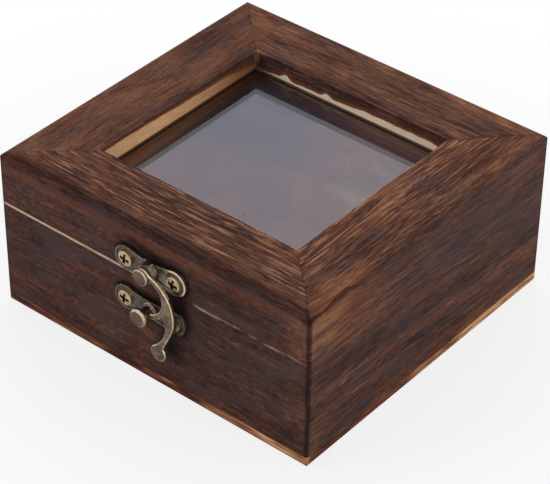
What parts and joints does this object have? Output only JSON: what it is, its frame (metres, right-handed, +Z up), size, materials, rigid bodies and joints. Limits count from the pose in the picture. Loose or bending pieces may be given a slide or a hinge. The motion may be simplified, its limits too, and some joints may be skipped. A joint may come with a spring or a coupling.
{
  "type": "pocket watch display box",
  "caption": "Mitred wooden display box with a glazed hinged lid, a swing hook latch and a padded well for one pocket watch.",
  "frame": {"origin": "centre of the underside of the box, on the surface it stands on", "axes": "+X to the right along the latch face, -Y out of the latch face, +Z up"},
  "size_m": [0.1, 0.1044, 0.0466],
  "materials": {
    "torched_wood": "torched and brushed, satin",
    "bottom_board": "torched, with scorched raw edges",
    "bead_wood": "raw",
    "glass": "clear, polished",
    "velvet": "short pile velvet",
    "antique_bronze": "antiqued, worn bright on its edges",
    "screw_brass": "antiqued brass"
  },
  "bodies": {
    "base": {"bottom_panel": "bottom_board", "base_wall_front": "torched_wood", "base_wall_back": "torched_wood", "base_wall_left": "torched_wood", "base_wall_right": "torched_wood", "display_pad": "velvet", "catch_plate": "antique_bronze", "catch_stud": "antique_bronze", "catch_screws": "screw_brass", "hinge_left_base_leaf": "antique_bronze", "hinge_right_base_leaf": "antique_bronze", "hinge_left_pin": "antique_bronze", "hinge_right_pin": "antique_bronze", "hinge_base_screws": "screw_brass"},
    "lid": {"lid_wall_front": "torched_wood", "lid_wall_back": "torched_wood", "lid_wall_left": "torched_wood", "lid_wall_right": "torched_wood", "frame_rail_front": "torched_wood", "frame_rail_back": "torched_wood", "frame_rail_left": "torched_wood", "frame_rail_right": "torched_wood", "glass_pane": "glass", "glazing_bead_front": "bead_wood", "glazing_bead_back": "bead_wood", "glazing_bead_left": "bead_wood", "glazing_bead_right": "bead_wood", "latch_plate": "antique_bronze", "latch_rivet": "antique_bronze", "latch_screws": "screw_brass", "hinge_left_lid_leaf": "antique_bronze", "hinge_right_lid_leaf": "antique_bronze", "hinge_lid_screws": "screw_brass"},
    "hook": {"latch_hook": "antique_bronze"}
  },
  "joints": [
    {"name": "lid_hinge", "type": "hinge", "parent": "base", "child": "lid", "pos_m": [0, 0.04945, 0.03155], "axis": [-1, 0, 0], "range_deg": [0, 180]},
    {"name": "hook_pivot", "type": "hinge", "parent": "lid", "child": "hook", "pos_m": [0.0014, -0.05125, 0.03585], "axis": [0, -1, 0], "range_deg": [-6, 180]}
  ]
}
